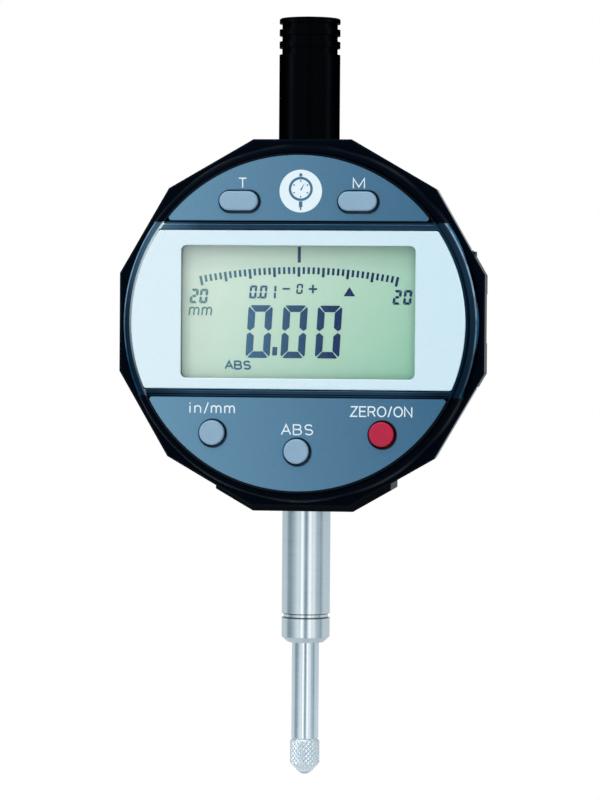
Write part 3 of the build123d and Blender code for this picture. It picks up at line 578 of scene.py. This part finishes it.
def seven_segment(prism, cx, cz, width, height, th, tv, gap, lit, slant=3.3):
    """One slanted seven-segment digit, centre (cx, cz), in millimetres."""
    W, H = width / 2, height / 2
    t = math.tan(math.radians(slant))
    g = gap
    m = 0.28 * th
    c1, c2 = 2.9 * g, 1.3 * g          # rounded outer corners
    shapes = {
        "a": [(-W + c1, H), (W - c1, H), (W - 1.75 * g, H - 0.45 * g),
              (W - tv + 0.1 * g, H - th), (-W + tv - 0.1 * g, H - th),
              (-W + 1.75 * g, H - 0.45 * g)],
        "f": [(-W, H - c1), (-W + 0.35 * g, H - 2.0 * g),
              (-W + 0.9 * g, H - c2), (-W + tv, H - th - 0.8 * g),
              (-W + tv, 0.5 * th + 0.8 * g), (-W + 0.42 * tv, 0.7 * g),
              (-W, m + 0.9 * g)],
    }
    shapes["b"] = [(-u, v) for u, v in shapes["f"]]
    shapes["e"] = [(u, -v) for u, v in shapes["f"]]
    shapes["c"] = [(-u, -v) for u, v in shapes["f"]]
    shapes["d"] = [(u, -v) for u, v in shapes["a"]]
    shapes.update({
        "g": [(-W + tv * 0.7, 0), (-W + tv * 1.1, th * 0.5),
              (W - tv * 1.1, th * 0.5), (W - tv * 0.7, 0),
              (W - tv * 1.1, -th * 0.5), (-W + tv * 1.1, -th * 0.5)],
    })
    for s in lit:
        prism.add([((cx + u + v * t) * MM, ZW + (cz + v) * MM)
                   for u, v in shapes[s]], LY0, LY1)


def bar(prism, x0, z0, x1, z1, y0=None, y1=None, zref=None):
    zr = ZW if zref is None else zref
    prism.add([(x0 * MM, zr + z0 * MM), (x1 * MM, zr + z0 * MM),
               (x1 * MM, zr + z1 * MM), (x0 * MM, zr + z1 * MM)],
              LY0 if y0 is None else y0, LY1 if y1 is None else y1)


digits = Prism()
for i, dx in enumerate((0.0, 5.72, 11.34)):
    seven_segment(digits, -6.43 + dx, -3.18, 3.98, 8.56, 1.06, 1.17, 0.2, "abcdef")
digits.add([((x) * MM, ZW + z * MM) for x, z in
            ((-4.22, -5.67), (-3.42, -5.67), (-3.50, -7.04), (-4.30, -7.04))],
           LY0, LY1)
big_digits = digits.build("lcd_digits", SEGMENT)

arc = Prism()
R_ARC = 86.0
TOP = 7.31
for i in range(-20, 21):
    x = 0.806 * i
    phi = math.asin(x / R_ARC)
    lean = phi * 1.12
    zt = TOP - R_ARC + math.sqrt(R_ARC ** 2 - x ** 2)
    length = 1.55 if i % 5 == 0 else 1.1
    hw = 0.215 if i % 5 == 0 else 0.195
    ux, uz = -math.sin(lean), -math.cos(lean)
    px, pz = -uz * hw, ux * hw
    arc.add([((x + px) * MM, ZW + (zt + pz) * MM),
             ((x - px) * MM, ZW + (zt - pz) * MM),
             ((x - px + ux * length) * MM, ZW + (zt - pz + uz * length) * MM),
             ((x + px + ux * length) * MM, ZW + (zt + pz + uz * length) * MM)],
            LY0, LY1)
bar(arc, -0.20, 8.05, 0.30, 10.6)                      # pointer above the arc
scale_marks = arc.build("lcd_scale", SEGMENT)

small = Prism()
for cx in (-17.12, -15.55):                             # left "20"
    seven_segment(small, cx, 2.52, 1.32, 2.36, 0.40, 0.42, 0.085,
                  "abged" if cx < -16.5 else "abcdef", 6)
for cx in (16.02, 17.72):                               # right "20"
    seven_segment(small, cx, 2.52, 1.32, 2.36, 0.40, 0.42, 0.085,
                  "abged" if cx < 17 else "abcdef", 6)
seven_segment(small, -7.45, 3.24, 1.16, 2.1, 0.33, 0.36, 0.06, "abcdef", 6)
seven_segment(small, -5.78, 3.24, 1.16, 2.1, 0.33, 0.36, 0.06, "abcdef", 6)
bar(small, -6.74, 2.2, -6.48, 2.48)                     # point of "0.0"
bar(small, -3.98, 3.34, -3.66, 4.24)                    # broken "1"
bar(small, -4.06, 2.22, -3.74, 3.12)
bar(small, -2.65, 3.64, -1.45, 3.92)                    # minus
seven_segment(small, 0.15, 3.78, 1.02, 1.62, 0.25, 0.27, 0.06, "abcdef", 6)
bar(small, 1.62, 3.62, 2.98, 3.92)                      # plus
bar(small, 2.15, 3.94, 2.45, 4.46)
bar(small, 2.15, 3.08, 2.45, 3.60)
small.add([(7.30 * MM, ZW + 2.64 * MM), (9.20 * MM, ZW + 2.64 * MM),
           (8.25 * MM, ZW + 4.12 * MM)], LY0, LY1)      # tolerance mark
small_marks = small.build("lcd_small_marks", SEGMENT)
for ob in (big_digits, scale_marks, small_marks):
    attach(ob, "case")


# ------------------------------------------------------------ generic letters
def arc_pts(cx, cy, rx, ry, a0, a1, n=14):
    return [(cx + rx * math.cos(math.radians(a0 + (a1 - a0) * i / n)),
             cy + ry * math.sin(math.radians(a0 + (a1 - a0) * i / n)))
            for i in range(n + 1)]


# strokes of a plain monoline alphabet, in a cell one high; (advance, strokes)
GLYPHS = {
    "T": (0.80, [[(0.0, 1.0), (0.74, 1.0)], [(0.37, 1.0), (0.37, 0.0)]]),
    "M": (0.96, [[(0.0, 0.0), (0.0, 1.0), (0.42, 0.12), (0.84, 1.0),
                  (0.84, 0.0)]]),
    "A": (0.86, [[(0.0, 0.0), (0.39, 1.0), (0.78, 0.0)],
                 [(0.13, 0.34), (0.65, 0.34)]]),
    "B": (0.80, [[(0.0, 0.0), (0.0, 1.0), (0.38, 1.0)]
                 + arc_pts(0.38, 0.765, 0.24, 0.235, 80, -80)
                 + [(0.38, 0.53), (0.0, 0.53)],
                 [(0.38, 0.53)] + arc_pts(0.40, 0.265, 0.28, 0.265, 80, -80)
                 + [(0.38, 0.0), (0.0, 0.0)]]),
    "S": (0.78, [arc_pts(0.34, 0.745, 0.30, 0.255, 25, 250)
                 + arc_pts(0.36, 0.262, 0.31, 0.262, 75, -155)]),
    "Z": (0.80, [[(0.02, 1.0), (0.70, 1.0), (0.0, 0.0), (0.72, 0.0)]]),
    "E": (0.74, [[(0.66, 1.0), (0.0, 1.0), (0.0, 0.0), (0.68, 0.0)],
                 [(0.0, 0.52), (0.60, 0.52)]]),
    "R": (0.82, [[(0.0, 0.0), (0.0, 1.0), (0.42, 1.0)]
                 + arc_pts(0.42, 0.74, 0.27, 0.26, 80, -80)
                 + [(0.42, 0.48), (0.0, 0.48)],
                 [(0.42, 0.48), (0.72, 0.0)]]),
    "O": (0.96, [arc_pts(0.43, 0.5, 0.43, 0.5, 90, 450, 30)]),
    "N": (0.86, [[(0.0, 0.0), (0.0, 1.0), (0.74, 0.0), (0.74, 1.0)]]),
    "/": (0.46, [[(0.0, -0.06), (0.34, 1.06)]]),
    "i": (0.26, [[(0.0, 0.0), (0.0, 0.72)], [(0.0, 0.90), (0.0, 1.04)]]),
    "n": (0.66, [[(0.0, 0.0), (0.0, 0.72)],
                 [(0.0, 0.44)] + arc_pts(0.25, 0.44, 0.25, 0.28, 165, 0, 10)
                 + [(0.50, 0.0)]]),
    "m": (1.00, [[(0.0, 0.0), (0.0, 0.72)],
                 [(0.0, 0.46)] + arc_pts(0.21, 0.48, 0.20, 0.24, 165, 0, 9)
                 + [(0.41, 0.0)],
                 [(0.41, 0.46)] + arc_pts(0.62, 0.48, 0.20, 0.24, 165, 0, 9)
                 + [(0.82, 0.0)]]),
}


def ribbon(prism, pts, half, y_back, y_front):
    """A stroke of constant width with mitred corners."""
    clean = [pts[0]]
    for p in pts[1:]:
        if math.hypot(p[0] - clean[-1][0], p[1] - clean[-1][1]) > 1e-6:
            clean.append(p)
    pts = clean
    closed = math.hypot(pts[0][0] - pts[-1][0], pts[0][1] - pts[-1][1]) < 1e-5
    if closed:
        pts = pts[:-1]
    n = len(pts)
    left, right_side = [], []
    for i in range(n):
        if closed:
            p0, p1, p2 = pts[i - 1], pts[i], pts[(i + 1) % n]
        else:
            p1 = pts[i]
            p0 = pts[i - 1] if i else None
            p2 = pts[i + 1] if i < n - 1 else None
        dirs = []
        for a, b in ((p0, p1), (p1, p2)):
            if a is not None and b is not None:
                d = math.hypot(b[0] - a[0], b[1] - a[1])
                dirs.append(((b[0] - a[0]) / d, (b[1] - a[1]) / d))
        if len(dirs) == 1:
            nx, ny, k = -dirs[0][1], dirs[0][0], 1.0
        else:
            nx = -(dirs[0][1] + dirs[1][1])
            ny = dirs[0][0] + dirs[1][0]
            d = math.hypot(nx, ny) or 1.0
            nx, ny = nx / d, ny / d
            k = min(2.2, 1.0 / max(0.3, nx * -dirs[0][1] + ny * dirs[0][0]))
        left.append((p1[0] + nx * half * k, p1[1] + ny * half * k))
        right_side.append((p1[0] - nx * half * k, p1[1] - ny * half * k))
    k0 = len(prism.v)
    for a, b in zip(left, right_side):
        prism.v += [(a[0], y_back, a[1]), (b[0], y_back, b[1]),
                    (b[0], y_front, b[1]), (a[0], y_front, a[1])]
    count = n if closed else n - 1
    for i in range(count):
        a, b = k0 + 4 * i, k0 + 4 * ((i + 1) % n)
        for q in range(4):
            w = (q + 1) % 4
            prism.f.append([a + q, b + q, b + w, a + w])
    if not closed:
        a, b = k0, k0 + 4 * (n - 1)
        prism.f.append([a, a + 1, a + 2, a + 3])
        prism.f.append([b + 3, b + 2, b + 1, b])


def letters(name, text, cx, cz, width, height, y_back, y_front, material,
            zref, half=0.105, shear=0.0, spacing=0.16):
    """Flat lettering from strokes, fitted to a width and a height in mm."""
    x, strokes, end = 0.0, [], 0.0
    for ch in text:
        advance, lines = GLYPHS[ch]
        for line in lines:
            strokes.append([(x + u + v * shear, v) for u, v in line])
        end = max(end, max(p[0] for line in strokes for p in line))
        x += advance + spacing
    lo = min(p[0] for line in strokes for p in line)
    sx = (width - 2 * half) / (end - lo)
    sz = height - 2 * half
    prism = Prism()
    for i, line in enumerate(strokes):
        # crossing strokes stand at slightly different heights
        lift = (i % 3) * 0.0015 * MM
        ribbon(prism, [((cx + (u - (lo + end) / 2) * sx) * MM,
                        zref + (cz + (v - 0.5) * sz) * MM) for u, v in line],
               half * MM, y_back, y_front - lift)
    ob = prism.build(name, material)
    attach(ob, "case")
    return ob


PY0 = Y_FACE - 0.001 * MM
PY1 = Y_FACE - 0.03 * MM
for name, text, cx, cz, width, height in (
        ("print_t", "T", -9.05, 22.63, 1.45, 1.75),
        ("print_m", "M", 9.84, 22.63, 2.0, 1.80),
        ("print_in_mm", "in/mm", -13.78, -13.83, 7.45, 1.80),
        ("print_abs", "ABS", 0.10, -17.2, 5.25, 1.80),
        ("print_zero_on", "ZERO/ON", 13.74, -14.15, 10.1, 1.75)):
    letters(name, text, cx, cz, width, height, PY0, PY1, PRINT_WHITE, ZC)
letters("lcd_abs", "ABS", -9.9, -8.66, 4.35, 1.5, LY0, LY1, SEGMENT, ZW,
        half=0.14, spacing=0.12)
letters("lcd_mm", "mm", -16.1, 0.28, 3.9, 2.0, LY0, LY1, SEGMENT, ZW,
        half=0.12, shear=0.12, spacing=0.14)

# emblem: a plain disc with the outline of a dial gauge
EX, EZ = 0.42, 21.35
disc = Prism()
disc.add([(EX * MM + 3.45 * MM * math.cos(math.radians(a)),
           ZC + EZ * MM + 3.45 * MM * math.sin(math.radians(a)))
          for a in range(0, 360, 4)], PY0, PY1)
emblem = disc.build("emblem_disc", PRINT_WHITE)
EY0, EY1 = PY1 - 0.001 * MM, PY1 - 0.02 * MM
mark = Prism()
mark.ring(EX * MM, ZC + (EZ + 0.35) * MM, 1.55 * MM, 1.95 * MM, EY0, EY1)
for a in range(30, 360, 60):
    c, s = math.cos(math.radians(a)), math.sin(math.radians(a))
    x0, z0 = EX + 1.12 * c, EZ + 0.35 + 1.12 * s
    x1, z1 = EX + 1.42 * c, EZ + 0.35 + 1.42 * s
    mark.add([((x0 - 0.09 * s) * MM, ZC + (z0 + 0.09 * c) * MM),
              ((x1 - 0.09 * s) * MM, ZC + (z1 + 0.09 * c) * MM),
              ((x1 + 0.09 * s) * MM, ZC + (z1 - 0.09 * c) * MM),
              ((x0 + 0.09 * s) * MM, ZC + (z0 - 0.09 * c) * MM)], EY0, EY1)
mark.add([((EX - 0.14) * MM, ZC + (EZ + 0.15) * MM),
          ((EX + 0.14) * MM, ZC + (EZ + 0.15) * MM),
          ((EX + 0.62) * MM, ZC + (EZ + 1.3) * MM)], EY0, EY1)
bar(mark, EX - 0.28, EZ - 2.6, EX + 0.28, EZ - 1.66, EY0, EY1, ZC)
bar(mark, EX - 0.11, EZ - 3.05, EX + 0.11, EZ - 2.62, EY0, EY1, ZC)
bar(mark, EX - 0.22, EZ + 2.36, EX + 0.22, EZ + 2.85, EY0, EY1, ZC)
emblem_mark = mark.build("emblem_mark", PRINT_DARK)
for ob in (emblem, emblem_mark):
    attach(ob, "case")


# -------------------------------------------------------- knurled contact point
def revolve_rows(rows, n):
    """rows: list of functions theta -> (r, z) sampled into a closed skin."""
    verts, faces = [], []
    for row in rows:
        for i in range(n):
            th = 2 * math.pi * i / n
            r, z = row(th)
            verts.append((r * math.cos(th), r * math.sin(th), z))
    for j in range(len(rows) - 1):
        for i in range(n):
            k = (i + 1) % n
            faces.append([j * n + i, j * n + k, (j + 1) * n + k, (j + 1) * n + i])
    return verts, faces


def tri(x):
    x = x - math.floor(x)
    return 1 - abs(2 * x - 1)


def knurled_point():
    top = point_hi.z / MM                        # -25.3
    shoulder = top - 3.9                         # -29.2
    tip = ball_lo.z / MM                         # -35.1
    cz = tip + 1.5
    bottom = tip + 0.48                          # -34.62
    n = 300
    prof = [(1.0, top), (1.24, top - 0.3), (1.24, shoulder), (2.05, shoulder)]
    rows = []

    def plain(r, z):
        return lambda th: (r * MM, z * MM)

    rows.append(plain(0.02, top))
    for i in range(len(prof) - 1):
        (r0, z0), (r1, z1) = prof[i], prof[i + 1]
        steps = 3
        for s in range(steps):
            rows.append(plain(r0 + (r1 - r0) * s / steps,
                              z0 + (z1 - z0) * s / steps))
    rows.append(plain(2.05, shoulder))
    depth = 0.17
    line = []
    for s in range(1, 7):
        line.append((2.05 + 0.40 * s / 6, shoulder - 0.35 * s / 6))
    z_bar = tip + 1.9                            # -33.2
    for s in range(1, 57):
        line.append((2.45, (shoulder - 0.35) + (z_bar - shoulder + 0.35) * s / 56))
    for s in range(1, 23):
        line.append((2.45 - 1.30 * s / 22, z_bar + (bottom - z_bar) * s / 22))
    nf = 19
    pitch = 2 * math.pi * 2.45 / nf

    def knurl(r, z):
        def row(th):
            a = th / (2 * math.pi) * nf
            b = (z - shoulder) / pitch
            h = min(tri(a + b), tri(a - b))
            h = min(1.0, h * 1.7)
            fade = min(1.0, max(0.0, (shoulder - 0.05 - z) / 0.25))
            fade *= min(1.0, max(0.0, (z - bottom) / 0.5))
            return ((r - depth * (1 - h) * fade) * MM, z * MM)
        return row

    for r, z in line:
        rows.append(knurl(r, z))
    rows.append(plain(1.11, bottom))
    a0 = math.asin(1.105 / 1.5)
    for s in range(0, 13):
        a = a0 + (math.pi - a0) * s / 12
        r = max(1.5 * math.sin(a), 0.02)
        if s == 0:
            continue
        rows.append(plain(r if s < 12 else 0.02, cz - 1.5 * math.cos(a)))
    verts, faces = revolve_rows(rows, n)
    faces.append(list(range(n - 1, -1, -1)))
    last = (len(rows) - 1) * n
    faces.append([last + i for i in range(n)])
    ob = mesh_object("knurled_point", verts, faces, MATS["point_steel"], True)
    ob.data.set_sharp_from_angle(angle=math.radians(38))
    return ob


point = knurled_point()
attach(point, "spindle")
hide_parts("contact_point")


# ------------------------------------------------------------- return spring
def helix_spring():
    z0 = spring_lo.z + 0.25 * MM
    z1 = spring_hi.z - 0.25 * MM
    rw, rc = 0.25 * MM, 3.1 * MM
    turns, per, side = 9, 48, 12
    steps = turns * per
    verts, faces = [], []
    for i in range(steps + 1):
        t = i / steps
        a = 2 * math.pi * turns * t
        # closed ends: the first and last turn lie almost flat
        u = t * turns
        flat = 0.85
        rise = 1.0 / (turns - 2 * flat * 0.75)
        if u < 1:
            zz = 0.25 * rise * u * u * 1.0
        elif u > turns - 1:
            zz = 1 - 0.25 * rise * (turns - u) ** 2
        else:
            lo_z = 0.25 * rise
            zz = lo_z + (1 - 2 * lo_z) * (u - 1) / (turns - 2)
        c = Vector((rc * math.cos(a), rc * math.sin(a), z0 + (z1 - z0) * zz))
        radial = Vector((math.cos(a), math.sin(a), 0))
        up = Vector((0, 0, 1))
        for s in range(side):
            b = 2 * math.pi * s / side
            verts.append(c + radial * (rw * math.cos(b)) + up * (rw * math.sin(b)))
    for i in range(steps):
        for s in range(side):
            k = (s + 1) % side
            faces.append([i * side + s, i * side + k,
                          (i + 1) * side + k, (i + 1) * side + s])
    faces.append(list(range(side)))
    faces.append([steps * side + s for s in range(side - 1, -1, -1)])
    return mesh_object("coil_spring", verts, faces, MATS["spring_steel"], True)


spring = helix_spring()
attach(spring, "case")
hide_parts("return_spring")
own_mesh(spring)


# ---------------------------------------------------------------------- stage
def make_floor():
    """Plain pale floor below the object, slightly uneven like a paper roll."""
    zf, half, n = -0.12, 0.50, 24
    verts, faces = [], []
    for j in range(n + 1):
        for i in range(n + 1):
            x, y = -half + 2 * half * i / n, -half + 2 * half * j / n
            verts.append((x, y, zf + 0.0004 * math.sin(9 * x) * math.cos(7 * y)))
    for j in range(n):
        for i in range(n):
            k = j * (n + 1) + i
            faces.append([k, k + 1, k + n + 2, k + n + 1])
    m, nt, bsdf = new_material("floor_paper")
    slow = noise(nt, coords(nt), 3.0, 2.0)
    nt.links.new(mix_color(nt, slow, (0.84, 0.84, 0.84), (0.88, 0.88, 0.88)),
                 bsdf.inputs["Base Color"])
    bsdf.inputs["Roughness"].default_value = 0.9
    bsdf.inputs["Specular IOR Level"].default_value = 0.0
    ob = mesh_object("floor", verts, faces, m, True)
    return ob


floor = make_floor()

# --------------------------------------------------------------------- lights
world = bpy.data.worlds.new("studio")
scene.world = world
world.use_nodes = True
wt = world.node_tree
wt.nodes.clear()
w_out = wt.nodes.new("ShaderNodeOutputWorld")
w_bg = wt.nodes.new("ShaderNodeBackground")
w_cam = wt.nodes.new("ShaderNodeBackground")
w_mix = wt.nodes.new("ShaderNodeMixShader")
w_lp = wt.nodes.new("ShaderNodeLightPath")
w_cam.inputs["Color"].default_value = (1, 1, 1, 1)
w_tc = wt.nodes.new("ShaderNodeTexCoord")
w_sep = wt.nodes.new("ShaderNodeSeparateXYZ")
wt.links.new(w_tc.outputs["Generated"], w_sep.inputs[0])
# azimuth round the object, 0.5 towards the reader, less to the left
w_neg = math_node(wt, "MULTIPLY", w_sep.outputs["Y"], -1.0)
w_at = math_node(wt, "ARCTAN2", w_sep.outputs["X"], w_neg)
w_az = ramp_range(wt, w_at, 0.0, 1.0, (-math.pi, math.pi))
w_ramp = wt.nodes.new("ShaderNodeValToRGB")
w_ramp.color_ramp.interpolation = "EASE"
STOPS = [(-180, 0.84), (-105, 0.84), (-97, 0.74), (-89, 0.48), (-81, 0.38),
         (-68, 0.42), (-57, 0.60), (-47, 0.76), (-40, 0.92), (-30, 1.06),
         (-22, 0.84), (-17, 1.30), (-12, 1.70), (-6, 1.15), (0, 0.55), (6, 0.30),
         (12, 0.50), (18, 1.10), (26, 1.60), (33, 1.10), (38, 1.00), (45, 1.20),
         (52, 0.92), (60, 0.66), (74, 0.62), (82, 0.40), (90, 0.60), (98, 0.82),
         (180, 0.84)]
cr = w_ramp.color_ramp
cr.elements[0].position, cr.elements[1].position = 0.0, 1.0
for deg, val in STOPS[1:-1]:
    cr.elements.new((deg + 180) / 360)
for el, (deg, val) in zip(cr.elements, STOPS):
    k = min(1.0, max(0.0, (val - 0.35) / 0.8))      # dim parts are bluer
    el.color = (val * (0.66 + 0.32 * k), val * (0.88 + 0.12 * k), val, 1)
wt.links.new(w_az, w_ramp.inputs["Fac"])
wt.links.new(w_ramp.outputs["Color"], w_bg.inputs["Color"])
# brighter overhead
w_up = ramp_range(wt, w_sep.outputs["Z"], 0.66, 0.98, (-0.1, 0.9))
# a little more light comes back up off the table
w_low = ramp_range(wt, w_sep.outputs["Z"], 1.34, 1.0, (-0.14, -0.055))
wt.links.new(math_node(wt, "MULTIPLY", w_up, w_low), w_bg.inputs["Strength"])
wt.links.new(w_lp.outputs["Is Camera Ray"], w_mix.inputs["Fac"])
wt.links.new(w_bg.outputs[0], w_mix.inputs[1])
wt.links.new(w_cam.outputs[0], w_mix.inputs[2])
wt.links.new(w_mix.outputs[0], w_out.inputs["Surface"])


def softbox(name, where, target, size, power, size_y=None):
    li = bpy.data.lights.new(name, "AREA")
    li.shape = "RECTANGLE"
    li.size = size
    li.size_y = size_y or size
    li.energy = power
    ob = bpy.data.objects.new(name, li)
    scene.collection.objects.link(ob)
    ob.location = where
    ob.rotation_mode = "QUATERNION"
    ob.rotation_quaternion = (Vector(target) - Vector(where)).to_track_quat("-Z", "Y")
    ob.visible_camera = False
    return ob


softbox("key_light", (-0.42, -0.52, 0.55), (0, 0, 0.035), 0.22, 1.15)

softbox("left_strip", (-0.62, -0.26, 0.17), (0, 0, 0.04), 0.05, 0.5, 0.22)
softbox("right_strip", (0.66, -0.10, 0.17), (0, 0, 0.04), 0.04, 0.4, 0.22)
softbox("top_strip", (-0.05, -0.30, 0.62), (0, 0, 0.04), 0.5, 1.2, 0.10)

# --------------------------------------------------------------------- camera
cam = bpy.data.cameras.new("camera")
cam_ob = bpy.data.objects.new("camera", cam)
scene.collection.objects.link(cam_ob)
scene.camera = cam_ob
cam.sensor_fit = "AUTO"
cam.sensor_width = 36.0
cam.lens = 3368.0 * 36.0 / 800.0
cam.clip_start, cam.clip_end = 0.02, 20.0
az, el, roll = math.radians(6.55), math.radians(1.5), math.radians(0.43)
back = Vector((math.sin(az) * math.cos(el), -math.cos(az) * math.cos(el),
               math.sin(el)))
right = Vector((math.cos(az), math.sin(az), 0))
up = back.cross(right)
target = Vector((0, 0, 26.85 * MM)) + right * (-1.22 * MM) + Vector((0, 0, -0.04 * MM))
r2 = right * math.cos(roll) + up * math.sin(roll)
u2 = up * math.cos(roll) - right * math.sin(roll)
rot = Matrix((r2, u2, back)).transposed()
cam_ob.matrix_world = Matrix.Translation(target + back * 0.560) @ rot.to_4x4()

scene.view_settings.view_transform = "Standard"
scene.view_settings.look = "None"
scene.view_settings.exposure = 0.0
scene.view_settings.gamma = 1.0

bpy.context.view_layer.update()
